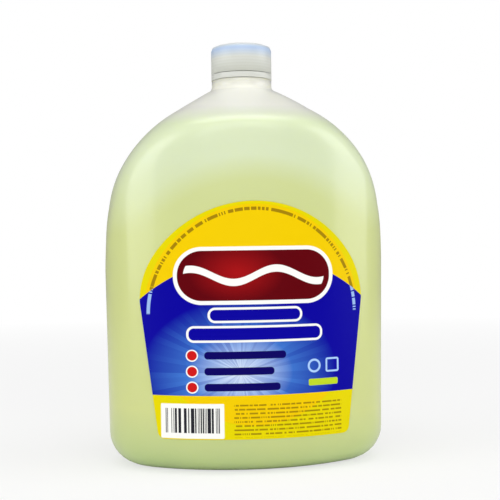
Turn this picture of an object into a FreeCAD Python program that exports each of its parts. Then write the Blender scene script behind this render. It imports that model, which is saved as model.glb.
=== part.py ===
import FreeCAD, Part
import math
import os
import Sketcher

# Household bleach bottle, about 290 mm tall: a blow-moulded oval bottle with an
# arched shoulder and a 38 mm screw neck, its screw cap with the seal insert, the
# tamper band that the cap leaves behind, the bleach inside and the front label.
#
# Frame: millimetres, +Z up, the label faces -Y, origin at the middle of the foot.

DRIVING_SIZES = [
    # the blown body
    ("body_width", 198.0, "width over the ends at the shoulder level"),
    ("body_depth", 129.0, "front to back at the shoulder level"),
    ("end_radius", 47.0, "plan radius of the two ends at the foot"),
    ("draft_angle", 0.8, "how far the walls lean out, degrees"),
    ("shoulder_level", 160.5, "height where the arch of the shoulder starts"),
    ("shoulder_ease", 0.6, "how much wider the arch of the shoulder is than the body"),
    ("shoulder_slope", 29.0, "slope of the cone below the neck, degrees"),
    ("corner_ease", 3.0, "how far the four corners stand out of a dome turned from the arch"),
    ("foot_radius", 20.0, "rounding between the walls and the foot"),
    ("wall", 1.3, "thickness of the blown wall"),
    ("foot_bevels", 3, "bevels that round the foot on the inside of the wall"),
    ("foot_ring", 5.0, "width of the flat ring that the bottle stands on"),
    ("push_up", 3.5, "depth of the hollow under the foot"),
    ("push_up_slope", 40.0, "lean of the side of that hollow, degrees"),
    # the neck
    ("collar_diameter", 42.6, "collar under the tamper band"),
    ("collar_height", 6.6, "from the shoulder cone to the top of the collar"),
    ("collar_flare", 3.0, "length of the flare from the collar into the roof"),
    ("collar_wall", 2.0, "thickness of the collar"),
    ("neck_diameter", 34.9, "neck between the threads"),
    ("bore_diameter", 30.6, "mouth of the bottle"),
    ("finish_height", 21.8, "from the top of the collar to the lip"),
    ("bead_diameter", 38.4, "bead that holds the tamper band down"),
    ("bead_rise", 2.6, "from the top of the collar to the bead"),
    ("bead_height", 1.6, "height of the bead"),
    # the screw thread, shared by neck and cap
    ("thread_lead", 4.2, "rise of the thread in one turn"),
    ("thread_turns", 1.5, "turns of thread on the neck and in the cap"),
    ("thread_depth", 1.2, "how far a thread ridge stands out"),
    ("thread_foot", 2.2, "width of a ridge at its foot"),
    ("thread_crest", 1.0, "width of a ridge at its crest"),
    ("thread_drop", 2.4, "from the lip to the upper end of the neck thread"),
    ("thread_play", 0.5, "free gap between the threads of neck and cap"),
    # cap, tamper band and seal insert
    ("cap_diameter", 43.0, "outside of cap and tamper band"),
    ("cap_roof", 1.6, "thickness of the top of the cap"),
    ("cap_edge", 1.8, "top edge of the cap, turned down in two bevels"),
    ("band_play", 0.4, "gap between the collar and the tamper band"),
    ("band_height", 3.8, "height of the tamper band"),
    ("band_wall", 1.6, "thickness of the tamper band"),
    ("catch_height", 1.2, "height of the catch inside the band"),
    ("catch_play", 0.5, "gap between the catch and the neck"),
    ("bridge_gap", 0.5, "gap between the band and the cap"),
    ("bridge_height", 0.25, "height of the broken bridges on the band"),
    ("bridge_width", 1.2, "width of one bridge"),
    ("bridge_depth", 0.7, "how far a bridge reaches in from the outside"),
    ("bridge_count", 16, "bridges round the band"),
    ("seal_diameter", 37.0, "flange of the seal insert"),
    ("seal_wall", 1.2, "thickness of the seal insert"),
    ("seal_play", 0.6, "gap between the seal plug and the bore"),
    ("seal_reach", 5.0, "how far the seal plug reaches below the lip"),
    # contents and label
    ("bleach_level", 240.0, "height of the surface of the bleach"),
    ("bleach_play", 0.3, "gap between the bleach and the wall"),
    ("label_width", 151.0, "label at its widest, seen from the front"),
    ("label_foot_width", 128.5, "lower edge of the label, seen from the front"),
    ("label_bottom", 24.0, "height of the lower edge of the label"),
    ("label_spring", 115.0, "height where the arch of the label starts"),
    ("label_top", 181.0, "height of the top of the label"),
    ("label_side_radius", 56.0, "radius of the sides of the arch"),
    ("label_corner", 5.0, "radius of the lower corners of the label"),
    ("label_film", 0.25, "thickness of the label film"),
    ("label_lift", 0.05, "glue between the label and the wall"),
]

# What follows from the driving sizes. Heights are measured from the foot.
DERIVED_SIZES = [
    # plan of the foot, an oval of two end arcs and two face arcs
    ("lean", "tan(size.draft_angle)"),
    ("foot_half_width", "size.body_width / 2 - size.shoulder_level * lean"),
    ("foot_half_depth", "size.body_depth / 2 - size.shoulder_level * lean"),
    ("end_centre", "foot_half_width - size.end_radius"),
    ("face_radius", "(end_centre * end_centre + foot_half_depth * foot_half_depth"
     " - size.end_radius * size.end_radius) / (2 * (foot_half_depth - size.end_radius))"),
    ("join_x", "end_centre / (face_radius - size.end_radius)"),
    ("join_y", "(face_radius - foot_half_depth) / (face_radius - size.end_radius)"),
    # heights up the neck
    ("collar_radius", "size.collar_diameter / 2"),
    ("neck_radius", "size.neck_diameter / 2"),
    ("shoulder_radius", "size.body_width / 2 + size.shoulder_ease"),
    ("cone_foot", "shoulder_radius * sin(size.shoulder_slope)"),
    ("cone_start", "size.shoulder_level + shoulder_radius * cos(size.shoulder_slope)"),
    ("cone_end", "cone_start + (cone_foot - collar_radius) * tan(size.shoulder_slope)"),
    # dome over the four corners: its slope below the neck comes from its radius
    ("corner_radius", "shoulder_radius + size.corner_ease"),
    ("collar_reach", "sqrt(collar_radius * collar_radius"
     " + (cone_end - size.shoulder_level) * (cone_end - size.shoulder_level))"),
    ("corner_slope", "atan(collar_radius / (cone_end - size.shoulder_level))"
     " + acos(corner_radius / collar_reach)"),
    ("collar_top", "cone_end + size.collar_height"),
    ("bead_foot", "collar_top + size.bead_rise"),
    ("bead_top", "bead_foot + size.bead_height"),
    ("lip", "collar_top + size.finish_height"),
    # band, cap and thread, seated on the neck
    ("cap_radius", "size.cap_diameter / 2"),
    ("band_foot", "collar_top + size.band_play"),
    ("band_top", "band_foot + size.band_height"),
    ("cap_foot", "band_top + size.bridge_gap"),
    ("cap_under", "lip + size.seal_wall"),
    ("cap_top", "cap_under + size.cap_roof"),
    ("cap_bore", "neck_radius + size.thread_depth + size.thread_play"),
    ("thread_start", "lip - size.thread_drop - size.thread_lead * size.thread_turns"),
    ("flank", "(size.thread_foot - size.thread_crest) / 2 / size.thread_depth"),
    ("thread_offset", "size.thread_foot + size.thread_play - flank * (cap_bore - neck_radius)"),
    ("plug_radius", "size.bore_diameter / 2 - size.seal_play"),
    # arch of the label
    ("arch_half", "size.label_width / 2"),
    ("arch_rise", "size.label_top - size.label_spring"),
    ("crown_radius", "(arch_half * arch_half + arch_rise * arch_rise"
     " - 2 * arch_half * size.label_side_radius) / (2 * (arch_rise - size.label_side_radius))"),
    ("haunch_x", "(arch_half - size.label_side_radius)"
     " * crown_radius / (crown_radius - size.label_side_radius)"),
    ("haunch_z", "size.label_spring + size.label_side_radius"
     " * (crown_radius - arch_rise) / (crown_radius - size.label_side_radius)"),
]

doc = FreeCAD.newDocument("bleach_bottle")
size = doc.addObject("Spreadsheet::Sheet", "size")
for row, (alias, number, meaning) in enumerate(DRIVING_SIZES, start=1):
    size.set("A%d" % row, alias)
    size.set("B%d" % row, str(number))
    size.set("C%d" % row, meaning)
    size.setAlias("B%d" % row, alias)
doc.recompute()

place = doc.addObject("App::VarSet", "place")
for name, expression in DERIVED_SIZES:
    place.addProperty("App::PropertyFloat", name, "Derived")
    place.setExpression(name, expression)
doc.recompute()


def number_of(expression):
    """The present value of an expression in the document's sizes."""
    return float(doc.size.evalExpression(expression))


def origin_part(body, role):
    """The plane or axis of a body's own origin that has this role."""
    for feature in body.Origin.OriginFeatures:
        if feature.Role == role:
            return feature
    raise ValueError(role)


def arc_between(start, end, radius, bow):
    """Circle arc over a chord. It bows to the right of the way along it for bow 1."""
    middle = (start + end) * 0.5
    chord = end - start
    left = FreeCAD.Vector(-chord.y, chord.x, 0).normalize()
    reach = math.sqrt(radius ** 2 - (chord.Length / 2) ** 2)
    centre = middle + left * (reach * bow)
    circle = Part.Circle(centre, FreeCAD.Vector(0, 0, 1), radius)
    first, last = (start, end) if bow > 0 else (end, start)
    return Part.ArcOfCircle(circle, circle.parameter(first), circle.parameter(last))


def place_point(sketch, side, corner, point):
    """Tie one corner of a sketch to the pair of expressions that give its place."""
    for kind, expression, axis in (("DistanceX", point[0], -2), ("DistanceY", point[1], -1)):
        if expression == "0":
            sketch.addConstraint(Sketcher.Constraint("PointOnObject", side, corner, axis))
            continue
        distance = Sketcher.Constraint(kind, -1, 1, side, corner, number_of(expression))
        index = sketch.addConstraint(distance)
        sketch.setExpression("Constraints[%d]" % index, expression)


def draw_loop(sketch, points, arcs):
    """Draw one closed loop, counter-clockwise, with the sides in arcs made round.

    points are pairs of expressions. arcs maps the number of a side, counted from
    the first point, to its radius and its bow: 1 for outward, -1 for inward.
    """
    corners = []
    for x, y in points:
        corners.append(FreeCAD.Vector(number_of(x), number_of(y), 0))
    first_side = sketch.GeometryCount
    starts = []
    ends = []
    for number, start in enumerate(corners):
        end = corners[(number + 1) % len(corners)]
        if number in arcs:
            radius, bow = arcs[number]
            side = sketch.addGeometry(arc_between(start, end, number_of(radius), bow))
            starts.append(1 if bow > 0 else 2)
            ends.append(2 if bow > 0 else 1)
            index = sketch.addConstraint(Sketcher.Constraint("Radius", side, number_of(radius)))
            sketch.setExpression("Constraints[%d]" % index, radius)
        else:
            sketch.addGeometry(Part.LineSegment(start, end))
            starts.append(1)
            ends.append(2)
    for number, point in enumerate(points):
        side = first_side + number
        before = first_side + (number - 1) % len(points)
        sketch.addConstraint(
            Sketcher.Constraint("Coincident", before, ends[number - 1], side, starts[number]))
        place_point(sketch, side, starts[number], point)


def add_sketch(body, name, plane, loops, height="0"):
    """Sketch of closed loops on one of the body's origin planes, raised by height."""
    sketch = body.newObject("Sketcher::SketchObject", name)
    sketch.AttachmentSupport = [(origin_part(body, plane), "")]
    sketch.MapMode = "FlatFace"
    if height != "0":
        sketch.setExpression("AttachmentOffset.Base.z", height)
    for points, arcs in loops:
        draw_loop(sketch, points, arcs)
    doc.recompute()
    return sketch


def add_feature(body, kind, name, sketch, **values):
    """Feature on a sketch, with plain settings or expressions that start with '='."""
    feature = body.newObject("PartDesign::" + kind, name)
    feature.Profile = sketch
    for setting, value in values.items():
        if isinstance(value, str) and value.startswith("="):
            feature.setExpression(setting, value[1:])
        else:
            setattr(feature, setting, value)
    sketch.Visibility = False
    doc.recompute()
    return feature


def add_fillet(body, name, edges, radius):
    """Rounding of the named edges of the body's last feature."""
    base = body.Tip
    fillet = body.newObject("PartDesign::Fillet", name)
    fillet.Base = (base, edges)
    fillet.setExpression("Radius", radius)
    doc.recompute()
    return fillet


def turned(body, name, kind, sketch):
    """Full turn of a sketch about the bottle's axis, added or taken away."""
    return add_feature(body, kind, name, sketch, ReferenceAxis=(sketch, ["V_Axis"]), Angle=360.0)


def expect_change(before, body, sign):
    """Stop if the last feature didn't add or take away material as it should."""
    if (body.Shape.Volume - before) * sign <= 0:
        raise ValueError(body.Name + ": " + body.Tip.Name + " points the wrong way")


def oval(inset):
    """Plan of the blown body at its foot, drawn in by inset all round."""
    reach = "(size.end_radius - (%s))" % inset
    x = "(place.end_centre + %s * place.join_x)" % reach
    y = "(%s * place.join_y)" % reach
    points = [(x, "0 - " + y), (x, y), ("0 - " + x, y), ("0 - " + x, "0 - " + y)]
    face = "place.face_radius - (%s)" % inset
    return points, {0: (reach, 1), 1: (face, 1), 2: (reach, 1), 3: (face, 1)}


def edges_between(shape, is_first, is_second):
    """Names of the edges that part a face of the first kind from one of the second."""
    names = []
    for number, edge in enumerate(shape.Edges, start=1):
        faces = shape.ancestorsOfType(edge, Part.Face)
        if len(faces) != 2:
            continue
        one, other = faces
        if (is_first(one) and is_second(other)) or (is_first(other) and is_second(one)):
            names.append("Edge%d" % number)
    return names


def outside_arc(radius, slope, inset, beyond, over):
    """Loop of what lies outside an arc of the shoulder and the slope that meets it."""
    reach = "(%s - (%s))" % (radius, inset)
    top = "place.cone_end - (%s) / cos(%s)" % (inset, slope)
    tangent_x = "%s * sin(%s)" % (reach, slope)
    tangent_z = "size.shoulder_level + %s * cos(%s)" % (reach, slope)
    points = [(reach, "size.shoulder_level"), (beyond, "size.shoulder_level"), (beyond, over),
              ("place.collar_radius", over), ("place.collar_radius", top),
              (tangent_x, tangent_z)]
    return points, {len(points) - 1: (reach, -1)}


def lean_at(height, floor):
    """How far the leaning walls have come out at a height above the floor."""
    return "(%s - (%s)) * place.lean" % (height, floor)


def add_foot_bevels(body, name, inset):
    """Bevels round the foot of a form inside the wall, in place of a rounding."""
    radius = "(size.foot_radius - (%s))" % inset
    for number in range(int(size.foot_bevels)):
        low = "(90 * %d / size.foot_bevels)" % number
        high = "(90 * %d / size.foot_bevels)" % (number + 1)
        height = "(size.foot_radius - %s * cos(%s))" % (radius, low)
        drawn_in = "size.foot_radius - %s * sin(%s) - %s" % (radius, low, lean_at(height, inset))
        plan = add_sketch(body, "%s_bevel_plan_%d" % (name, number), "XY_Plane",
                          [oval(drawn_in)], height)
        add_feature(body, "Pad", "%s_bevel_%d" % (name, number), plan,
                    Length="=%s * (cos(%s) - cos(%s))" % (radius, low, high),
                    TaperAngle="=90 - (%s + %s) / 2" % (low, high))


def blown_form(name, inset, neck):
    """The bottle's outer form, or with an inset the same form drawn in on all sides.

    It is the oval of the foot drawn up to the crease and roofed in from there, cut to
    the arch that the front view shows and joined to the turned neck, whose outline
    neck lists from its foot to the mouth.
    """
    body = doc.addObject("PartDesign::Body", name)
    is_core = inset != "0"
    if is_core:
        base = "size.foot_radius"
        add_foot_bevels(body, name, inset)
    else:
        base = inset
    plan = add_sketch(body, name + "_plan", "XY_Plane",
                      [oval("%s - %s" % (inset, lean_at(base, inset)))], base)
    reach = "(place.foot_half_depth - (%s) * (1 + place.lean) - place.collar_radius)" % inset
    crease = ("(place.cone_end - (%s) / cos(size.shoulder_slope)"
              " - %s * tan(size.shoulder_slope)) / (1 + place.lean * tan(size.shoulder_slope))"
              % (inset, reach))
    add_feature(body, "Pad", name + "_walls", plan,
                Length="=%s - (%s)" % (crease, base), TaperAngle="=size.draft_angle")
    eaves = add_sketch(body, name + "_eaves", "XY_Plane",
                       [oval("%s - %s" % (inset, lean_at(crease, inset)))], crease)
    top = "place.cone_end - (%s) / cos(size.shoulder_slope)" % inset
    add_feature(body, "Pad", name + "_roof", eaves,
                Length="=%s - %s" % (top, crease), TaperAngle="=size.shoulder_slope - 90")

    # what lies outside the arch of the front view goes
    beyond = "size.body_width"
    over = "place.cone_end + size.collar_height"
    right, arcs = outside_arc("place.shoulder_radius", "size.shoulder_slope", inset, beyond, over)
    left = [("0 - (%s)" % x, z) for x, z in reversed(right)]
    outline = add_sketch(body, name + "_arch", "XZ_Plane", [(right, arcs), (left, arcs)])
    before = body.Shape.Volume
    add_feature(body, "Pocket", name + "_sides", outline, Type="ThroughAll", Midplane=True)
    expect_change(before, body, -1)

    level = size.shoulder_level
    floor = number_of(inset)

    def is_wall(face):
        box = face.BoundBox
        return box.ZMin < level - 1 and box.ZMax > level

    def is_floor(face):
        return face.BoundBox.ZMax < floor + 0.01

    if not is_core:
        foot = edges_between(body.Shape, is_wall, is_floor)
        add_fillet(body, name + "_foot", foot, "size.foot_radius")

    # the four corners are turned down to a dome
    dome = outside_arc("place.corner_radius", "place.corner_slope", inset, beyond, over)
    corners = add_sketch(body, name + "_dome", "XZ_Plane", [dome])
    turned(body, name + "_corners", "Groove", corners)

    hollow = add_sketch(body, name + "_hollow_plan", "XY_Plane",
                        [oval("size.foot_radius + size.foot_ring - (%s)" % inset)], inset)
    before = body.Shape.Volume
    add_feature(body, "Pocket", name + "_hollow", hollow, Length="=size.push_up",
                Reversed=True, TaperAngle="=0 - size.push_up_slope")
    expect_change(before, body, -1)

    if neck:
        outline = [("0", neck[0][1])] + neck + [("0", neck[-1][1])]
        neck_sketch = add_sketch(body, name + "_neck_outline", "XZ_Plane", [(outline, {})])
        before = body.Shape.Volume
        turned(body, name + "_neck", "Revolution", neck_sketch)
        expect_change(before, body, 1)
    return body


def add_thread(body, name, root, height, outward):
    """One helical ridge of the screw thread, on a shaft or in a bore of this radius."""
    sunk = "size.thread_depth / 4"
    if outward:
        foot = "%s - %s" % (root, sunk)
        crest = "%s + size.thread_depth" % root
    else:
        foot = "%s + %s" % (root, sunk)
        crest = "%s - size.thread_depth" % root
    half_foot = "size.thread_foot / 2"
    half_crest = "size.thread_crest / 2"
    points = [(foot, "%s - %s" % (height, half_foot)), (crest, "%s - %s" % (height, half_crest)),
              (crest, "%s + %s" % (height, half_crest)), (foot, "%s + %s" % (height, half_foot))]
    if not outward:
        points.reverse()
    section = add_sketch(body, name + "_section", "XZ_Plane", [(points, {})])
    before = body.Shape.Volume
    add_feature(body, "AdditiveHelix", name, section, ReferenceAxis=(section, ["V_Axis"]),
                Mode="pitch-turns-angle", HasBeenEdited=True, Pitch="=size.thread_lead",
                Turns="=size.thread_turns")
    expect_change(before, body, 1)


def make_bottle():
    """Blown bottle: outer form with neck and thread, less the form drawn in by the wall."""
    bead_side = "place.bead_foot + size.bead_height / 2"
    sunk = "place.cone_end - size.collar_flare"
    flare = "place.collar_radius + size.collar_flare * cos(size.shoulder_slope)"
    outer_neck = [
        (flare, sunk),
        (flare, "place.cone_end - size.collar_flare * sin(size.shoulder_slope)"),
        ("place.collar_radius", "place.cone_end + size.collar_flare"),
        ("place.collar_radius", "place.collar_top"),
        ("place.neck_radius", "place.collar_top"),
        ("place.neck_radius", "place.bead_foot"),
        ("size.bead_diameter / 2", "place.bead_foot"),
        ("size.bead_diameter / 2", bead_side),
        ("place.neck_radius", "place.bead_top"),
        ("place.neck_radius", "place.lip"),
    ]
    outer = blown_form("blown_outside", "0", outer_neck)
    add_thread(outer, "neck_thread", "place.neck_radius", "place.thread_start", True)

    inner_collar = "place.collar_radius - size.collar_wall"
    inner_neck = [
        (inner_collar, sunk),
        (inner_collar, "place.collar_top - size.collar_wall"),
        ("size.bore_diameter / 2", "place.collar_top"),
        ("size.bore_diameter / 2", "place.lip + size.wall"),
    ]
    inner = blown_form("blown_inside", "size.wall", inner_neck)

    bottle = doc.addObject("Part::Cut", "bottle")
    bottle.Base = outer
    bottle.Tool = inner
    return bottle


def make_bleach():
    """The bleach: the bottle's inside, drawn in by a hair and level at the top."""
    inset = "size.wall + size.bleach_play"
    body = blown_form("bleach", inset, [])
    half = "size.body_width / 2"
    above = [(half, "0 - " + half), (half, half), ("0 - " + half, half),
             ("0 - " + half, "0 - " + half)]
    level = add_sketch(body, "bleach_level", "XY_Plane", [(above, {})], "size.bleach_level")
    before = body.Shape.Volume
    add_feature(body, "Pocket", "bleach_surface", level, Length="=place.lip", Reversed=True)
    expect_change(before, body, -1)
    return body


def make_tamper_band():
    """Ring that stays on the neck, with its catch below the bead and broken bridges."""
    body = doc.addObject("PartDesign::Body", "tamper_band")
    inside = "place.cap_radius - size.band_wall"
    catch = "place.neck_radius + size.catch_play"
    section = [
        (catch, "place.band_foot"),
        ("place.cap_radius", "place.band_foot"),
        ("place.cap_radius", "place.band_top"),
        (inside, "place.band_top"),
        (inside, "place.band_foot + size.catch_height + ((%s) - (%s)) / 2" % (inside, catch)),
        (catch, "place.band_foot + size.catch_height"),
    ]
    ring = add_sketch(body, "band_section", "XZ_Plane", [(section, {})])
    turned(body, "band_ring", "Revolution", ring)
    half = "size.bridge_width / 2"
    outer = "place.cap_radius - (size.band_wall - size.bridge_depth) / 4"
    inner = "place.cap_radius - size.bridge_depth"
    stub = [(outer, "0 - " + half), (outer, half), (inner, half), (inner, "0 - " + half)]
    plan = add_sketch(body, "bridge_plan", "XY_Plane", [(stub, {})], "place.band_top")
    bridge = add_feature(body, "Pad", "bridge", plan, Length="=size.bridge_height")
    pattern = body.newObject("PartDesign::PolarPattern", "bridges")
    pattern.Originals = [bridge]
    pattern.Axis = (origin_part(body, "Z_Axis"), [""])
    pattern.Angle = 360.0
    pattern.setExpression("Occurrences", "size.bridge_count")
    body.Tip = pattern
    doc.recompute()
    return body


def make_cap():
    """Plain screw cap with a turned-down top edge and the thread inside."""
    body = doc.addObject("PartDesign::Body", "cap")
    section = [
        ("0", "place.cap_under"),
        ("place.cap_bore", "place.cap_under"),
        ("place.cap_bore", "place.cap_foot"),
        ("place.cap_radius", "place.cap_foot"),
        ("place.cap_radius", "place.cap_top - size.cap_edge"),
        ("place.cap_radius - size.cap_edge * (1 - sqrt(0.5))",
         "place.cap_top - size.cap_edge * (1 - sqrt(0.5))"),
        ("place.cap_radius - size.cap_edge", "place.cap_top"),
        ("0", "place.cap_top"),
    ]
    shell = add_sketch(body, "cap_section", "XZ_Plane", [(section, {})])
    turned(body, "cap_shell", "Revolution", shell)
    add_thread(body, "cap_thread", "place.cap_bore",
               "(place.thread_start - place.thread_offset)", False)
    return body


def make_seal_insert():
    """Seal insert in the cap: a flange on the lip and a thin plug down the mouth."""
    body = doc.addObject("PartDesign::Body", "seal_insert")
    section = [
        ("0", "place.lip"),
        ("place.plug_radius - size.seal_wall", "place.lip"),
        ("place.plug_radius - size.seal_wall", "place.lip - size.seal_reach"),
        ("place.plug_radius", "place.lip - size.seal_reach"),
        ("place.plug_radius", "place.lip"),
        ("size.seal_diameter / 2", "place.lip"),
        ("size.seal_diameter / 2", "place.cap_under"),
        ("0", "place.cap_under"),
    ]
    disc = add_sketch(body, "seal_section", "XZ_Plane", [(section, {})])
    turned(body, "seal_disc", "Revolution", disc)
    return body


def make_front_label():
    """Label film that follows the front wall inside an arch-shaped outline."""
    sheet = doc.addObject("PartDesign::Body", "label_sheet")
    outside = "0 - size.label_lift - size.label_film - size.label_bottom * place.lean"
    plan = add_sketch(sheet, "label_outer_plan", "XY_Plane", [oval(outside)], "size.label_bottom")
    add_feature(sheet, "Pad", "label_outside", plan,
                Length="=size.label_top - size.label_bottom", TaperAngle="=size.draft_angle")
    inside = "0 - size.label_lift - size.label_bottom * place.lean"
    hollow = add_sketch(sheet, "label_inner_plan", "XY_Plane", [oval(inside)], "size.label_bottom")
    before = sheet.Shape.Volume
    add_feature(sheet, "Pocket", "label_inside", hollow, Reversed=True,
                Length="=size.label_top - size.label_bottom", TaperAngle="=size.draft_angle")
    expect_change(before, sheet, -1)

    arch = doc.addObject("PartDesign::Body", "label_arch")
    foot = "size.label_foot_width / 2"
    points = [
        ("0 - " + foot, "size.label_bottom"),
        (foot, "size.label_bottom"),
        ("place.arch_half", "size.label_spring"),
        ("place.haunch_x", "place.haunch_z"),
        ("0 - place.haunch_x", "place.haunch_z"),
        ("0 - place.arch_half", "size.label_spring"),
    ]
    arcs = {2: ("size.label_side_radius", 1), 3: ("place.crown_radius", 1),
            4: ("size.label_side_radius", 1)}
    outline = add_sketch(arch, "label_outline", "XZ_Plane", [(points, arcs)])
    add_feature(arch, "Pad", "label_depth", outline, Length="=size.body_depth")
    corners = []
    for number, edge in enumerate(arch.Shape.Edges, start=1):
        box = edge.BoundBox
        if box.YLength > 1 and abs(box.ZMax - size.label_bottom) < 0.01:
            corners.append("Edge%d" % number)
    add_fillet(arch, "label_corners", corners, "size.label_corner")

    label = doc.addObject("Part::Common", "front_label")
    label.Base = sheet
    label.Tool = arch
    return label


PIECES = {
    "bottle": make_bottle(),
    "bleach": make_bleach(),
    "tamper_band": make_tamper_band(),
    "cap": make_cap(),
    "seal_insert": make_seal_insert(),
    "front_label": make_front_label(),
}
for label, piece in PIECES.items():
    piece.Label = label
doc.recompute()

for item in doc.Objects:
    if "Invalid" in item.State or "Error" in item.State:
        raise RuntimeError("failed: " + item.Name)

os.makedirs("parts", exist_ok=True)
for label, piece in PIECES.items():
    shape = piece.Shape
    if shape.isNull() or not shape.isValid() or len(shape.Solids) != 1:
        raise RuntimeError("not one sound solid: " + label)
    shape.exportStep("parts/" + label + ".step")
    print(label, "volume %.0f mm3," % shape.Volume, "height %.2f to %.2f"
          % (shape.BoundBox.ZMin, shape.BoundBox.ZMax))
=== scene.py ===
import bpy
import bmesh
import math
import numpy as np
from mathutils import Euler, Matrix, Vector


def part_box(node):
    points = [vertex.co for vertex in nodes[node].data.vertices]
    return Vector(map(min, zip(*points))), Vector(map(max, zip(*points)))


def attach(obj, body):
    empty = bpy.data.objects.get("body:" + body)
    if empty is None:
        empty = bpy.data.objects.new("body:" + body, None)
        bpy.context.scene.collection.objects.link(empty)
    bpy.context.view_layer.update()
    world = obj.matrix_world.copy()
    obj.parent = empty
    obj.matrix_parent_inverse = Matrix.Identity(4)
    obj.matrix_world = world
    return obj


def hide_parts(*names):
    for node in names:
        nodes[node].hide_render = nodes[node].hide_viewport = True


# A bleach bottle as it stands in a studio: cloudy blown plastic that lets the bleach
# show through, a milky cap with its seal, and a printed film label. Lengths are in
# millimetres, apart from the studio's, which are in metres.

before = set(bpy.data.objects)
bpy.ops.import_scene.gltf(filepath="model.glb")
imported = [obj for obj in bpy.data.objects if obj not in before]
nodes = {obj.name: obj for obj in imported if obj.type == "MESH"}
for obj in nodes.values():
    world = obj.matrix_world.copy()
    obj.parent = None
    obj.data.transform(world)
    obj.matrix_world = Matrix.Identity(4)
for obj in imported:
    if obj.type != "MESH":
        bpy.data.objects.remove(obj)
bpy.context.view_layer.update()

MM = 0.001


def tint(red, green, blue):
    """A colour named by its 0 to 255 screen values, as the shaders want it."""
    channels = []
    for value in (red, green, blue):
        share = value / 255
        if share <= 0.04045:
            channels.append(share / 12.92)
        else:
            channels.append(((share + 0.055) / 1.055) ** 2.4)
    return (*channels, 1.0)


class Field:
    """A number that changes over a surface. Sums with fields are shader nodes."""

    def __init__(self, tree, socket):
        self.tree = tree
        self.socket = socket

    def sum_node(self, operation, *others, clamp=False):
        node = self.tree.nodes.new("ShaderNodeMath")
        node.operation = operation
        node.use_clamp = clamp
        for number, value in enumerate((self, *others)):
            if isinstance(value, Field):
                self.tree.links.new(value.socket, node.inputs[number])
            else:
                node.inputs[number].default_value = value
        return Field(self.tree, node.outputs[0])

    def __add__(self, other):
        return self.sum_node("ADD", other)

    def __sub__(self, other):
        return self.sum_node("SUBTRACT", other)

    def __mul__(self, other):
        return self.sum_node("MULTIPLY", other)

    def __truediv__(self, other):
        return self.sum_node("DIVIDE", other)

    def size(self):
        return self.sum_node("ABSOLUTE")

    def most(self, other):
        return self.sum_node("MAXIMUM", other)

    def least(self, other):
        return self.sum_node("MINIMUM", other)

    def whole(self):
        return self.sum_node("FLOOR")

    def part(self):
        return self.sum_node("FRACT")

    def above(self, level, soft):
        """1 where the field is above the level, 0 below, with a soft step between."""
        return ((self - level) / soft + 0.5).sum_node("ADD", 0.0, clamp=True)

    def below(self, level, soft):
        return ((self - level) / (-soft) + 0.5).sum_node("ADD", 0.0, clamp=True)


def distance(across, up):
    """How far a point is from the place where both fields are nought."""
    return (across * across + up * up).sum_node("POWER", 0.5)


def surface_places(tree):
    """The three object coordinates, in millimetres."""
    coordinates = tree.nodes.new("ShaderNodeTexCoord")
    parts = tree.nodes.new("ShaderNodeSeparateXYZ")
    tree.links.new(coordinates.outputs["Object"], parts.inputs[0])
    return [Field(tree, socket) / MM for socket in parts.outputs]


def scatter(tree, *fields):
    """An even random number from 0 to 1 for each pair of whole numbers."""
    joined = tree.nodes.new("ShaderNodeCombineXYZ")
    for number, field in enumerate(fields):
        tree.links.new(field.socket, joined.inputs[number])
    noise = tree.nodes.new("ShaderNodeTexWhiteNoise")
    noise.noise_dimensions = "3D"
    tree.links.new(joined.outputs[0], noise.inputs["Vector"])
    return Field(tree, noise.outputs["Value"])


def scatter_along(tree, field):
    """An even random number from 0 to 1 for each whole number along one line."""
    return scatter(tree, field, field * 0.0)


def clouds(tree, width):
    """Soft random patches of about this width in millimetres."""
    coordinates = tree.nodes.new("ShaderNodeTexCoord")
    noise = tree.nodes.new("ShaderNodeTexNoise")
    noise.inputs["Scale"].default_value = 1 / (width * MM)
    noise.inputs["Detail"].default_value = 2.0
    tree.links.new(coordinates.outputs["Object"], noise.inputs["Vector"])
    return Field(tree, noise.outputs["Fac"])


def painted(tree, ground, cover, colour):
    """The ground colour with another laid over it where cover is 1."""
    mix = tree.nodes.new("ShaderNodeMix")
    mix.data_type = "RGBA"
    tree.links.new(cover.socket, mix.inputs["Factor"])
    for name, value in (("A", ground), ("B", colour)):
        socket = [item for item in mix.inputs if item.name == name and item.type == "RGBA"][0]
        if isinstance(value, tuple):
            socket.default_value = value
        else:
            tree.links.new(value, socket)
    return [item for item in mix.outputs if item.type == "RGBA"][0]


def new_material(name):
    """A material with one Principled shader, and its tree and shader."""
    material = bpy.data.materials.new(name)
    material.use_nodes = True
    tree = material.node_tree
    return material, tree, tree.nodes["Principled BSDF"]


def bump(tree, shader, height, depth):
    """Raise the surface by height, a field, times depth in millimetres."""
    node = tree.nodes.new("ShaderNodeBump")
    node.inputs["Distance"].default_value = depth * MM
    tree.links.new(height.socket, node.inputs["Height"])
    tree.links.new(node.outputs[0], shader.inputs["Normal"])


def let_light_in(shader, weight, depths):
    """Scatter this share of the light under the surface, to depths for red, green, blue."""
    shader.inputs["Subsurface Weight"].default_value = weight
    shader.inputs["Subsurface Radius"].default_value = [depth * MM for depth in depths]
    shader.inputs["Subsurface Scale"].default_value = 1.0


def give(node_name, material):
    """Dress a CAD piece in this material."""
    slots = nodes[node_name].data.materials
    slots.clear()
    slots.append(material)


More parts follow.
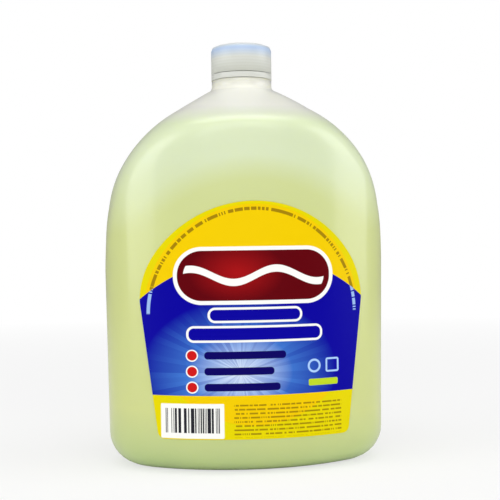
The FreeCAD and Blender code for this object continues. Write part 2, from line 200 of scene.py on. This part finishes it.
# the blown form: oval walls that lean out towards the shoulder, a roof that falls to the
# front and the back, an arch over both sides and a dome over the corners
HALF_WIDTH = 99.0
HALF_DEPTH = 64.5
END_RADIUS = 47.0
LEAN = math.tan(math.radians(0.8))
SHOULDER_LEVEL = 160.5
ARCH_RADIUS = 99.6
ROOF_SLOPE = math.radians(29.0)
CORNER_EASE = 1.5
FOOT_RADIUS = 22.5
FOOT_RING = 5.0
PUSH_UP = 3.5
PUSH_UP_SLOPE = math.radians(40.0)
COLLAR_RADIUS = 21.3
COLLAR_FLARE = 3.0
WALL = 1.3
NECK_WALL = 1.9
BLEACH_GAP = 0.3

# how far below the top of the roof its inside ends and the bore of the neck begins
INNER_ROOF_DROP = 2.4
BORE_DROP = 0.5

# the cap's top edge in the solid, and as wide as it is moulded
CAP_RADIUS = 21.5
CAP_EDGE = 1.8
CAP_EDGE_MOULDED = 3.4

# how softly the crease, the sides of the arch and the corners are rounded
CREASE_SOFT = 5.0
ARCH_SOFT = 10.0
CORNER_SOFT = 7.0
SOFT_FROM = 130.0
SOFT_FULL = 180.0
CRISP_COLLAR = 4.0
COLLAR_FADE = 25.0

# fineness of the mesh
ROUND_COUNT = 224
FILLET_STEPS = 9
FLARE_STEPS = 6
WALL_FROM = 26.0
WALL_STEP = 8.0
SHOULDER_STEP = 2.5
UPPER_ROOF_FROM = 225.0
UPPER_ROOF_STEP = 0.8
SLACK = 0.05
SHARP_ANGLE = 35.0
CAP_SHARP_ANGLE = 50.0

# a ring of the form is sought between these shares of the foot's oval
LEAST_SHARE = 0.05
MOST_SHARE = 1.2
HALVINGS = 36

liquid_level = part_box("bleach")[1][2] / MM
foot_half_width = HALF_WIDTH - SHOULDER_LEVEL * LEAN
foot_half_depth = HALF_DEPTH - SHOULDER_LEVEL * LEAN
end_centre = foot_half_width - END_RADIUS
face_radius = ((end_centre ** 2 + foot_half_depth ** 2 - END_RADIUS ** 2)
               / (2 * (foot_half_depth - END_RADIUS)))
face_centre = face_radius - foot_half_depth
join_angle = math.atan2(face_centre, end_centre)
push_up_run = PUSH_UP * math.tan(PUSH_UP_SLOPE)
roof_rise = ARCH_RADIUS / math.cos(ROOF_SLOPE) - COLLAR_RADIUS * math.tan(ROOF_SLOPE)
roof_top = SHOULDER_LEVEL + roof_rise
collar_foot = roof_top + COLLAR_FLARE
crease = ((roof_top - (foot_half_depth - COLLAR_RADIUS) * math.tan(ROOF_SLOPE))
          / (1 + LEAN * math.tan(ROOF_SLOPE)))
dome_radius = ARCH_RADIUS + CORNER_EASE
dome_slope = (math.atan2(COLLAR_RADIUS, roof_rise)
              + math.acos(dome_radius / math.hypot(COLLAR_RADIUS, roof_rise)))


def beyond_oval(x, y):
    """Distance out of the oval of the foot, negative inside it."""
    past_end = x - end_centre
    on_end = np.arctan2(y, past_end) < join_angle
    return np.where(on_end, np.hypot(past_end, y) - END_RADIUS,
                    np.hypot(x, y + face_centre) - face_radius)


def beyond_arc(across, rise, radius, slope):
    """Distance out of an arc about the shoulder level and the slope that meets it."""
    on_slope = across * math.sin(slope) + rise * math.cos(slope) - radius
    on_arc = np.hypot(across, np.maximum(rise, 0)) - radius
    return np.where(across * math.cos(slope) < rise * math.sin(slope), on_slope, on_arc)


def softly_more(one, other, soft):
    """The larger of two, with the corner between them rounded off over soft."""
    near = np.maximum(soft - np.abs(one - other), 0)
    return np.maximum(one, other) + near ** 2 / (4 * np.maximum(soft, 1e-6))


def beyond_form(x, y, z):
    """Distance out of the blown form above its foot, negative inside it."""
    x, y = np.abs(x), np.abs(y)
    rise = z - SHOULDER_LEVEL
    from_collar = np.hypot(x, y) - COLLAR_RADIUS
    rounding = (np.clip((z - SOFT_FROM) / (SOFT_FULL - SOFT_FROM), 0, 1)
                * np.clip((from_collar - CRISP_COLLAR) / COLLAR_FADE, 0, 1))
    outside = beyond_oval(x, y)
    roof = ((outside - LEAN * crease) * math.sin(ROOF_SLOPE)
            + (z - crease) * math.cos(ROOF_SLOPE))
    form = softly_more(outside - LEAN * z, roof, CREASE_SOFT)
    arch = beyond_arc(x, rise, ARCH_RADIUS, ROOF_SLOPE)
    form = softly_more(form, arch, ARCH_SOFT * rounding)
    dome = beyond_arc(np.hypot(x, y), rise, dome_radius, dome_slope)
    return softly_more(form, dome, CORNER_SOFT * rounding)


def oval_ring(inset, z):
    """Points round the oval of the foot drawn in by inset, at a height."""
    turn = (np.arange(ROUND_COUNT) + 0.5) * 2 * math.pi / ROUND_COUNT
    across, along = np.cos(turn), np.sin(turn)
    on_end = np.arctan2(np.abs(along), np.abs(across)) < join_angle
    x = np.where(on_end, end_centre + (END_RADIUS - inset) * np.abs(across),
                 (face_radius - inset) * np.abs(across))
    y = np.where(on_end, (END_RADIUS - inset) * np.abs(along),
                 (face_radius - inset) * np.abs(along) - face_centre)
    return np.stack([x * np.sign(across), y * np.sign(along), np.full(ROUND_COUNT, z)], axis=1)


def form_ring(inset, z):
    """Points round the blown form drawn in by inset, at a height above the foot."""
    foot = oval_ring(0.0, 0.0)
    low = np.full(ROUND_COUNT, LEAST_SHARE)
    high = np.full(ROUND_COUNT, MOST_SHARE)
    for _ in range(HALVINGS):
        middle = (low + high) / 2
        inside = beyond_form(foot[:, 0] * middle, foot[:, 1] * middle, z) < -inset
        low = np.where(inside, middle, low)
        high = np.where(inside, high, middle)
    return np.stack([foot[:, 0] * low, foot[:, 1] * low, np.full(ROUND_COUNT, z)], axis=1)


def circle_ring(radius, z):
    """Points on a circle about the axis, in the same directions as the other rings."""
    foot = oval_ring(0.0, 0.0)
    reach = radius / np.hypot(foot[:, 0], foot[:, 1])
    return np.stack([foot[:, 0] * reach, foot[:, 1] * reach, np.full(ROUND_COUNT, z)], axis=1)


def form_rings(inset, top):
    """Rings from the middle of the foot up to a height, of the form drawn in by inset."""
    ring_inset = FOOT_RADIUS + FOOT_RING - inset
    rings = [oval_ring(ring_inset + push_up_run, PUSH_UP + inset),
             oval_ring(ring_inset, inset), oval_ring(FOOT_RADIUS, inset)]
    radius = FOOT_RADIUS - inset
    for step in range(1, FILLET_STEPS + 1):
        turn = math.pi / 2 * step / FILLET_STEPS
        z = FOOT_RADIUS - radius * math.cos(turn)
        rings.append(oval_ring(FOOT_RADIUS - radius * math.sin(turn) - LEAN * (z - inset), z))
    for low, high, step in ((WALL_FROM, SOFT_FROM, WALL_STEP),
                            (SOFT_FROM, UPPER_ROOF_FROM, SHOULDER_STEP),
                            (UPPER_ROOF_FROM, top, UPPER_ROOF_STEP)):
        for z in np.arange(low, min(high, top), step):
            rings.append(form_ring(inset, z))
    rings.append(form_ring(inset, top))
    return rings


def flare_rings():
    """Rings on the arc that leads from the roof's slope up into the collar."""
    full_turn = math.pi / 2 - ROOF_SLOPE
    radius = COLLAR_FLARE / math.tan(full_turn / 2)
    rings = []
    for step in range(1, FLARE_STEPS):
        turn = full_turn * (1 - step / FLARE_STEPS)
        rings.append(circle_ring(COLLAR_RADIUS + radius * (1 - math.cos(turn)),
                                 collar_foot - radius * math.sin(turn)))
    return rings


def join_rings(mesh, rings, inwards=False):
    """Add rings of points with faces between them. Returns the first and last ring."""
    rows = [[mesh.verts.new(Vector(point) * MM) for point in ring] for ring in rings]
    for low, high in zip(rows, rows[1:]):
        for number in range(ROUND_COUNT):
            after = (number + 1) % ROUND_COUNT
            corners = [low[number], low[after], high[after], high[number]]
            mesh.faces.new(corners[::-1] if inwards else corners)
    return rows[0], rows[-1]


def bridge(mesh, row, rim):
    """Close the gap between a ring of points and a rim of edges."""
    edges = [mesh.edges.get((row[number - 1], row[number])) for number in range(len(row))]
    bmesh.ops.bridge_loops(mesh, edges=edges + rim)


def finished(name, mesh, sharp, stands_for, body, material):
    """Make the piece that stands for a CAD node, with its edges sharp past an angle."""
    bmesh.ops.recalc_face_normals(mesh, faces=mesh.faces)
    data = bpy.data.meshes.new(name)
    mesh.to_mesh(data)
    mesh.free()
    data.shade_smooth()
    data.set_sharp_from_angle(angle=math.radians(sharp))
    data.materials.append(material)
    piece = bpy.data.objects.new(name, data)
    bpy.context.collection.objects.link(piece)
    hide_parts(stands_for)
    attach(piece, body)


def merged_copy(node_name):
    """The triangles of a CAD node joined at their corners."""
    mesh = bmesh.new()
    mesh.from_mesh(nodes[node_name].data)
    bmesh.ops.remove_doubles(mesh, verts=mesh.verts, dist=0.001 * MM)
    return mesh


def keep_neck(mesh):
    """Cut the solid bottle off below its collar. Returns its outer and its inner rim."""
    lowest = (collar_foot - SLACK) * MM
    below = [face for face in mesh.faces if min(corner.co.z for corner in face.verts) < lowest]
    bmesh.ops.delete(mesh, geom=below, context="FACES")
    loose = [corner for corner in mesh.verts if not corner.link_faces]
    bmesh.ops.delete(mesh, geom=loose, context="VERTS")
    outer, inner = [], []
    for edge in mesh.edges:
        if edge.is_boundary:
            reach = edge.verts[0].co.xy.length / MM
            (outer if reach > COLLAR_RADIUS - NECK_WALL / 2 else inner).append(edge)
    return outer, inner


def make_blown_bottle(material):
    """Blown wall with soft ridges, closed to the solid bottle's own neck and thread."""
    mesh = merged_copy("bottle")
    outer_rim, inner_rim = keep_neck(mesh)

    outside = form_rings(0.0, roof_top - COLLAR_FLARE * math.sin(ROOF_SLOPE)) + flare_rings()
    foot, top = join_rings(mesh, outside)
    mesh.faces.new(foot[::-1])
    bridge(mesh, top, outer_rim)

    inside = form_rings(WALL, roof_top - INNER_ROOF_DROP)
    inside.append(circle_ring(COLLAR_RADIUS - NECK_WALL, roof_top - BORE_DROP))
    foot, top = join_rings(mesh, inside, inwards=True)
    mesh.faces.new(foot)
    bridge(mesh, top, inner_rim)
    finished("blown_bottle", mesh, SHARP_ANGLE, "bottle", "bottle_body",
             material)


def make_bleach(material):
    """The bleach, a hair inside the wall and level at the top."""
    mesh = bmesh.new()
    foot, top = join_rings(mesh, form_rings(WALL + BLEACH_GAP, liquid_level))
    mesh.faces.new(foot[::-1])
    mesh.faces.new(top)
    finished("bleach_inside", mesh, SHARP_ANGLE, "bleach", "bottle_body",
             material)


def make_soft_cap(material):
    """The screw cap with its top edge turned down wider, as moulding leaves it."""
    mesh = merged_copy("cap")
    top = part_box("cap")[1][2] / MM
    wider = CAP_EDGE_MOULDED / CAP_EDGE
    for corner in mesh.verts:
        radius = corner.co.xy.length / MM
        drop = top - corner.co.z / MM
        if radius > CAP_RADIUS - CAP_EDGE - SLACK and drop < CAP_EDGE + SLACK:
            corner.co.xy *= (CAP_RADIUS - (CAP_RADIUS - radius) * wider) / radius
            corner.co.z = (top - drop * wider) * MM
    finished("screw_cap", mesh, CAP_SHARP_ANGLE, "cap", "cap_body", material)


# colours of the blown wall, from the foot up
FOOT_GREEN = tint(182, 206, 134)
BLEACH_GREEN = tint(214, 224, 134)
UPPER_GREEN = tint(222, 235, 156)
# the roof's paler green is a painted highlight: the wall above the label's arch, as if lit
# from above
ROOF_HIGHLIGHT_GREEN = tint(230, 246, 190)
EMPTY_CREAM = tint(252, 252, 228)
# the neck's cream is darker than the roof's: painted shade on the upright collar
SHADED_NECK_CREAM = tint(230, 229, 208)

# each colour takes over at a level, over a run of height
BLEACH_GREEN_LEVEL, BLEACH_GREEN_RUN = 20.0, 40.0
UPPER_GREEN_LEVEL, UPPER_GREEN_RUN = 170.0, 110.0
ROOF_HIGHLIGHT_LEVEL, ROOF_HIGHLIGHT_RUN = 185.0, 50.0
CREAM_RUN = 12.0
NECK_SHADE_RUN = 4.0
CLOUD_WIDTH = 90.0
CLOUD_REACH = 24.0

# the centre of the label's arch, and the radius about it past which a painted highlight makes
# the wall paler
ARCH_CENTRE = 106.0
HIGHLIGHT_RADIUS = 97.0
HIGHLIGHT_SOFT_RUN = 16.0

# the mould's parting line and the faint unevenness of the wall
SEAM_HALF = 0.25
SEAM_SOFT = 0.3
RIPPLE_WIDTH = 26.0
RIPPLE_DEPTH = 0.12


def blown_plastic():
    """Cloudy plastic: cream where it is empty, yellow-green where bleach stands behind it. A
    painted highlight makes the wall above the label paler, and painted shade darkens the
    collar.
    """
    material, tree, shader = new_material("cloudy_blown_plastic")
    x, y, z = surface_places(tree)
    height = z + (clouds(tree, CLOUD_WIDTH) - 0.5) * CLOUD_REACH
    # painted highlight: the wall past the label's arch and high on the roof is made paler
    highlight_above_label = distance(x, z - ARCH_CENTRE).above(HIGHLIGHT_RADIUS, HIGHLIGHT_SOFT_RUN)
    roof_highlight = highlight_above_label * height.above(ROOF_HIGHLIGHT_LEVEL, ROOF_HIGHLIGHT_RUN)
    # the last step paints the collar a darker cream, which is painted shade
    colour = FOOT_GREEN
    for cover, shade in ((height.above(BLEACH_GREEN_LEVEL, BLEACH_GREEN_RUN), BLEACH_GREEN),
                         (height.above(UPPER_GREEN_LEVEL, UPPER_GREEN_RUN), UPPER_GREEN),
                         (roof_highlight, ROOF_HIGHLIGHT_GREEN),
                         (z.above(liquid_level, CREAM_RUN), EMPTY_CREAM),
                         (z.above(collar_foot, NECK_SHADE_RUN), SHADED_NECK_CREAM)):
        colour = painted(tree, colour, cover, shade)
    tree.links.new(colour, shader.inputs["Base Color"])
    shader.inputs["Roughness"].default_value = 0.34
    let_light_in(shader, 0.35, (12.0, 12.0, 6.0))
    shader.inputs["Coat Weight"].default_value = 0.6
    shader.inputs["Coat Roughness"].default_value = 0.14
    seam = y.size().below(SEAM_HALF, SEAM_SOFT)
    bump(tree, shader, clouds(tree, RIPPLE_WIDTH) * 0.6 + seam * 0.5, RIPPLE_DEPTH)
    return material


def bleach_liquid():
    """Clear yellow-green bleach."""
    material, tree, shader = new_material("bleach_liquid")
    shader.inputs["Base Color"].default_value = tint(205, 215, 120)
    shader.inputs["Roughness"].default_value = 0.05
    return material


# the cap: its plastic, the blue seal and the thread that show through it
CAP_GREY = tint(211, 213, 207)
THREAD_WHITE = tint(224, 227, 224)
SEAL_BLUE_BEHIND = tint(170, 194, 228)
SEAL_BLUE = tint(176, 198, 230)
SEAL_SEEN_RADIUS = 16.5
THREAD_SEEN_PITCH = 2.1
THREAD_SEEN_BELOW_SEAL = 10.0


def milky_plastic():
    """Milky cap plastic. The seal shows through it near the top, the thread below."""
    material, tree, shader = new_material("milky_cap_plastic")
    x, y, z = surface_places(tree)
    seal_low, seal_high = [corner[2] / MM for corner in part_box("seal_insert")]
    over_seal = distance(x, y).below(SEAL_SEEN_RADIUS, 5.0)
    seal_seen = z.above(seal_low + 1.0, 6.0) * z.below(seal_high, 2.5).most(over_seal)
    turns = ((z / THREAD_SEEN_PITCH).part() - 0.5).size().below(0.25, 0.5)
    thread_seen = turns * z.above(seal_low - THREAD_SEEN_BELOW_SEAL, 5.0)
    colour = painted(tree, CAP_GREY, thread_seen * 0.4, THREAD_WHITE)
    colour = painted(tree, colour, seal_seen * 0.85, SEAL_BLUE_BEHIND)
    tree.links.new(colour, shader.inputs["Base Color"])
    shader.inputs["Roughness"].default_value = 0.36
    let_light_in(shader, 0.3, (4.0, 4.0, 4.0))
    return material


def seal_plastic():
    """Soft pale blue plastic of the seal insert."""
    material, tree, shader = new_material("seal_plastic")
    shader.inputs["Base Color"].default_value = SEAL_BLUE
    shader.inputs["Roughness"].default_value = 0.45
    return material


# printing inks of the label
YELLOW = tint(240, 202, 0)
RIM_YELLOW = tint(228, 212, 0)
BLUE = tint(6, 0, 156)
DARK_RED = tint(96, 0, 10)
SIGNAL_RED = tint(205, 25, 25)
PAPER_WHITE = tint(248, 248, 244)
PALE_BLUE = tint(170, 205, 250)
SKY_BLUE = tint(90, 165, 245)
NAVY = tint(8, 0, 96)
INK = tint(40, 40, 48)
BROWN = tint(120, 84, 10)
LEAF = tint(190, 215, 40)

# how soft a printed edge is, and the step between a random mark and a gap
EDGE = 0.25
CRISP = 0.01

# places on the label, across and up, and sizes; a box has its place and its half size
RIM_RADIUS = 73.0
HILL_CENTRE = 30.0
HILL_RADIUS = 115.0
HILL_FOOT = 53.0
BURST_PLACE = (-10.0, 68.0)
BURST_WIDER = 0.75
RAYS_PER_RADIAN = 14.0
BANNER_PLACE = (0.0, 132.0)
BANNER_HALF = (51.0, 16.5)
BANNER_CORNER = 16.0
BANNER_RIM = 2.6
SHEEN_PLACE = (-12.0, 134.0)
SHEEN_WIDER = 1.6
WAVE_RUN = 9.0
WAVE_RISE = 4.5
WAVE_HALF = 2.4
WAVE_END = 4.0
RIMMED_BARS = (((0.0, 106.0), (30.0, 3.6)), ((0.0, 93.5), (44.0, 4.0)))
BAR_CORNER = 3.4
BAR_RIM = 1.5
NAVY_BARS = (((-7.0, 79.5), (27.0, 2.5)), ((-11.0, 69.0), (23.0, 2.5)),
             ((-9.0, 58.5), (25.0, 2.5)))
NAVY_CORNER = 2.2
DOTS_ACROSS = -42.0
DOT_RADIUS = 3.2
DOT_RIM = 0.8
LEAF_BAR = ((46.0, 60.0), (10.5, 2.2))
LEAF_CORNER = 1.0
SMALL_CORNER = 0.8
RING_PLACE = (39.5, 71.0)
RING_RADIUS = 3.9
RING_HALF = 0.7
SQUARE = ((52.5, 71.0), (4.2, 4.2))
SQUARE_HALF = 0.6
ARCH_MARKS_RADIUS = 70.0
ARCH_MARKS_HALF = 1.1
ARCH_MARKS_FROM = 107.0
ARCH_MARKS_PER_RADIAN = 78.0
FINE_ROWS = ((22.0, 36.5), (37.0, 11.2))
ROW_PITCH = 2.7
MARK_PITCH = 0.7
PATCH = ((-42.0, 36.2), (20.5, 11.5))
STROKES = ((-42.0, 36.5), (17.5, 8.2))
STROKE_PITCH = 0.45


def within(shape):
    """1 inside a shape that is given by the distance to its edge, 0 outside."""
    return shape.below(0.0, EDGE)


class Film:
    """The label's print: inks laid one over another on the yellow ground."""

    def __init__(self, tree):
        self.tree = tree
        self.x, _, self.z = surface_places(tree)
        self.colour = YELLOW

    def from_place(self, place):
        return distance(self.x - place[0], self.z - place[1])

    def box(self, place, half, corner):
        """Distance to the edge of a box with round corners, negative inside it."""
        along = (self.x - place[0]).size() - (half[0] - corner)
        up = (self.z - place[1]).size() - (half[1] - corner)
        outside = distance(along.most(0.0), up.most(0.0))
        return outside + along.most(up).least(0.0) - corner

    def cover(self, share, ink):
        self.colour = painted(self.tree, self.colour, share, ink)

    def fill(self, shape, ink):
        self.cover(within(shape), ink)


def print_ground(film):
    """Greener rim and a blue hill cut off straight below. Returns the hill."""
    hill = film.from_place((0.0, HILL_CENTRE)) - HILL_RADIUS
    hill = hill.most((film.z - HILL_FOOT) * -1.0)
    film.cover(film.from_place((0.0, ARCH_CENTRE)).above(RIM_RADIUS, 0.5), RIM_YELLOW)
    film.fill(hill, BLUE)
    return hill


def print_burst(film, hill):
    """Pale rays in the blue, brighter in the middle."""
    across = film.x - BURST_PLACE[0]
    up = film.z - BURST_PLACE[1]
    far = distance(across * BURST_WIDER, up)
    angle = up.sum_node("ARCTAN2", across)
    rays = scatter_along(film.tree, (angle * RAYS_PER_RADIAN).whole())
    burst = within(hill) * (rays * 0.5 + 0.6)
    film.cover(burst * far.below(25.0, 48.0), SKY_BLUE)
    film.cover(burst * far.below(8.0, 36.0), PAPER_WHITE)


def print_banner(film):
    """Dark red banner with a white rim, a red sheen and a white wave."""
    banner = film.box(BANNER_PLACE, BANNER_HALF, BANNER_CORNER)
    film.fill(banner - BANNER_RIM, PAPER_WHITE)
    film.fill(banner, DARK_RED)
    across = (film.x - SHEEN_PLACE[0]) / SHEEN_WIDER
    sheen = distance(across, film.z - SHEEN_PLACE[1]).below(10.0, 20.0)
    film.cover(sheen * within(banner) * 0.55, SIGNAL_RED)
    swell = (film.x / WAVE_RUN).sum_node("SINE") * WAVE_RISE
    wave = (film.z - swell - BANNER_PLACE[1]).size() - WAVE_HALF
    film.fill(wave.most(banner + WAVE_END), PAPER_WHITE)


def print_bars(film):
    """Two wide bars with white rims, then three navy bars with red dots."""
    for place, half in RIMMED_BARS:
        bar = film.box(place, half, BAR_CORNER)
        film.fill(bar - BAR_RIM, PAPER_WHITE)
        film.fill(bar, BLUE)
    for place, half in NAVY_BARS:
        film.fill(film.box(place, half, NAVY_CORNER), NAVY)
        dot = film.from_place((DOTS_ACROSS, place[1])) - DOT_RADIUS
        film.fill(dot - DOT_RIM, PAPER_WHITE)
        film.fill(dot, SIGNAL_RED)


def print_small_marks(film):
    """A leaf green bar, a ring and a square at the right."""
    film.fill(film.box(*LEAF_BAR, LEAF_CORNER), LEAF)
    film.fill((film.from_place(RING_PLACE) - RING_RADIUS).size() - RING_HALF, PALE_BLUE)
    film.fill(film.box(*SQUARE, SMALL_CORNER).size() - SQUARE_HALF, PALE_BLUE)


def print_arch_marks(film, hill):
    """A line of small marks that follows the arch, brown on yellow and pale on blue."""
    turn = (film.z - ARCH_CENTRE).sum_node("ARCTAN2", film.x)
    marks = scatter_along(film.tree, (turn * ARCH_MARKS_PER_RADIAN).whole()).above(0.22, CRISP)
    line = (film.from_place((0.0, ARCH_CENTRE)) - ARCH_MARKS_RADIUS).size() - ARCH_MARKS_HALF
    shown = within(line) * marks * film.z.above(ARCH_MARKS_FROM, 1.0)
    on_blue = within(hill)
    film.cover(shown * (on_blue * -1.0 + 1.0) * 0.75, BROWN)
    film.cover(shown * on_blue * 0.8, PALE_BLUE)


def print_fine_rows(film):
    """Rows of fine marks on the yellow strip."""
    row = film.z / ROW_PITCH
    marks = scatter(film.tree, (film.x / MARK_PITCH).whole(), row.whole()).above(0.25, CRISP)
    shown = row.part().below(0.42, 0.1) * marks * within(film.box(*FINE_ROWS, 0.5))
    film.cover(shown * 0.7, BROWN)


def print_stroke_patch(film):
    """White patch with upright strokes of random width."""
    film.fill(film.box(*PATCH, SMALL_CORNER), PAPER_WHITE)
    strokes = scatter_along(film.tree, (film.x / STROKE_PITCH).whole()).above(0.45, CRISP)
    film.cover(strokes * within(film.box(*STROKES, 0.1)), INK)


def label_film():
    """Printed film: an arched yellow ground, a blue hill with a glow, plain bars."""
    material, tree, shader = new_material("printed_label_film")
    film = Film(tree)
    hill = print_ground(film)
    print_burst(film, hill)
    print_banner(film)
    print_bars(film)
    print_small_marks(film)
    print_arch_marks(film, hill)
    print_fine_rows(film)
    print_stroke_patch(film)
    tree.links.new(film.colour, shader.inputs["Base Color"])
    shader.inputs["Roughness"].default_value = 0.35
    shader.inputs["Specular IOR Level"].default_value = 0.05
    return material


make_blown_bottle(blown_plastic())
make_bleach(bleach_liquid())
cap_finish = milky_plastic()
make_soft_cap(cap_finish)
give("tamper_band", cap_finish)
give("seal_insert", seal_plastic())
give("front_label", label_film())


# the studio, in metres
EYE_HEIGHT = 0.148
DISTANCE = 0.765
TURN = math.radians(6.4)
ROLL = math.radians(0.85)
SHIFT = (0.012, 0.002)
HALF_PICTURE_PIXELS = 250
FOCAL_LENGTH_PIXELS = 1068
FLOOR_WIDTH = 40.0
FLOOR_GREY = 0.93
FLOOR_PALE = 0.65
FLOOR_FADE_RADIUS = 0.9
FLOOR_FADE_RUN = 1.4
BACKDROP_LIGHT = 0.33
WHITE = (1.0, 1.0, 1.0, 1.0)


def make_floor():
    """Plain pale floor that keeps the shadow near the bottle and turns white far off."""
    bpy.ops.mesh.primitive_plane_add(size=FLOOR_WIDTH, location=(0, 0, 0))
    floor = bpy.context.object
    floor.name = "floor"
    material, tree, shader = new_material("pale_floor")
    shader.inputs["Base Color"].default_value = (FLOOR_GREY, FLOOR_GREY, FLOOR_GREY, 1.0)
    shader.inputs["Roughness"].default_value = 0.9
    path = tree.nodes.new("ShaderNodeLightPath")
    x, y, _ = surface_places(tree)
    far = distance(x, y).above(FLOOR_FADE_RADIUS / MM, FLOOR_FADE_RUN / MM)
    seen = Field(tree, path.outputs["Is Camera Ray"]) * (far * (1 - FLOOR_PALE) + FLOOR_PALE)
    glow = tree.nodes.new("ShaderNodeEmission")
    glow.inputs["Color"].default_value = WHITE
    mix = tree.nodes.new("ShaderNodeMixShader")
    tree.links.new(seen.socket, mix.inputs[0])
    tree.links.new(shader.outputs[0], mix.inputs[1])
    tree.links.new(glow.outputs[0], mix.inputs[2])
    tree.links.new(mix.outputs[0], tree.nodes["Material Output"].inputs["Surface"])
    floor.data.materials.append(material)


def white_backdrop():
    """Soft grey light all round that the camera sees as plain white."""
    world = bpy.data.worlds.new("studio")
    bpy.context.scene.world = world
    world.use_nodes = True
    tree = world.node_tree
    tree.nodes.clear()
    path = tree.nodes.new("ShaderNodeLightPath")
    seen = tree.nodes.new("ShaderNodeMath")
    seen.operation = "MAXIMUM"
    tree.links.new(path.outputs["Is Camera Ray"], seen.inputs[0])
    tree.links.new(path.outputs["Is Transmission Ray"], seen.inputs[1])
    lit = tree.nodes.new("ShaderNodeBackground")
    lit.inputs["Color"].default_value = WHITE
    lit.inputs["Strength"].default_value = BACKDROP_LIGHT
    white = tree.nodes.new("ShaderNodeBackground")
    white.inputs["Color"].default_value = WHITE
    white.inputs["Strength"].default_value = 1.0
    mix = tree.nodes.new("ShaderNodeMixShader")
    tree.links.new(seen.outputs[0], mix.inputs[0])
    tree.links.new(lit.outputs[0], mix.inputs[1])
    tree.links.new(white.outputs[0], mix.inputs[2])
    output = tree.nodes.new("ShaderNodeOutputWorld")
    tree.links.new(mix.outputs[0], output.inputs["Surface"])


def soft_box(name, place, target, wide, high, power):
    """Area light at place that faces target and stays out of the picture."""
    data = bpy.data.lights.new(name, "AREA")
    data.shape = "RECTANGLE"
    data.size = wide
    data.size_y = high
    data.energy = power
    lamp = bpy.data.objects.new(name, data)
    lamp.location = place
    lamp.rotation_euler = (Vector(target) - Vector(place)).to_track_quat("-Z", "Y").to_euler()
    lamp.visible_camera = False
    bpy.context.collection.objects.link(lamp)


def place_camera():
    """Camera at the angle of the photograph, level with the middle of the bottle."""
    data = bpy.data.cameras.new("camera")
    data.lens_unit = "FOV"
    data.angle = 2 * math.atan(HALF_PICTURE_PIXELS / FOCAL_LENGTH_PIXELS)
    data.shift_x, data.shift_y = SHIFT
    camera = bpy.data.objects.new("camera", data)
    camera.location = (-DISTANCE * math.sin(TURN), -DISTANCE * math.cos(TURN), EYE_HEIGHT)
    camera.rotation_euler = Euler((math.pi / 2, ROLL, -TURN), "XYZ")
    bpy.context.collection.objects.link(camera)
    bpy.context.scene.camera = camera


make_floor()
white_backdrop()
soft_box("front_panel", place=(-0.1, -2.4, 1.43), target=(-0.1, 0, 1.43),
         wide=2.4, high=1.92, power=25.6)
soft_box("top_panel", place=(0.0, -0.48, 2.02), target=(0, 0, 0.1),
         wide=1.92, high=1.44, power=16.4)
soft_box("left_panel", place=(-1.76, -0.64, 0.71), target=(0, 0, 0.15),
         wide=1.12, high=1.6, power=11.5)
soft_box("right_panel", place=(1.76, -0.48, 0.71), target=(0, 0, 0.15),
         wide=1.12, high=1.6, power=11.5)
place_camera()
bpy.context.scene.view_settings.view_transform = "Standard"
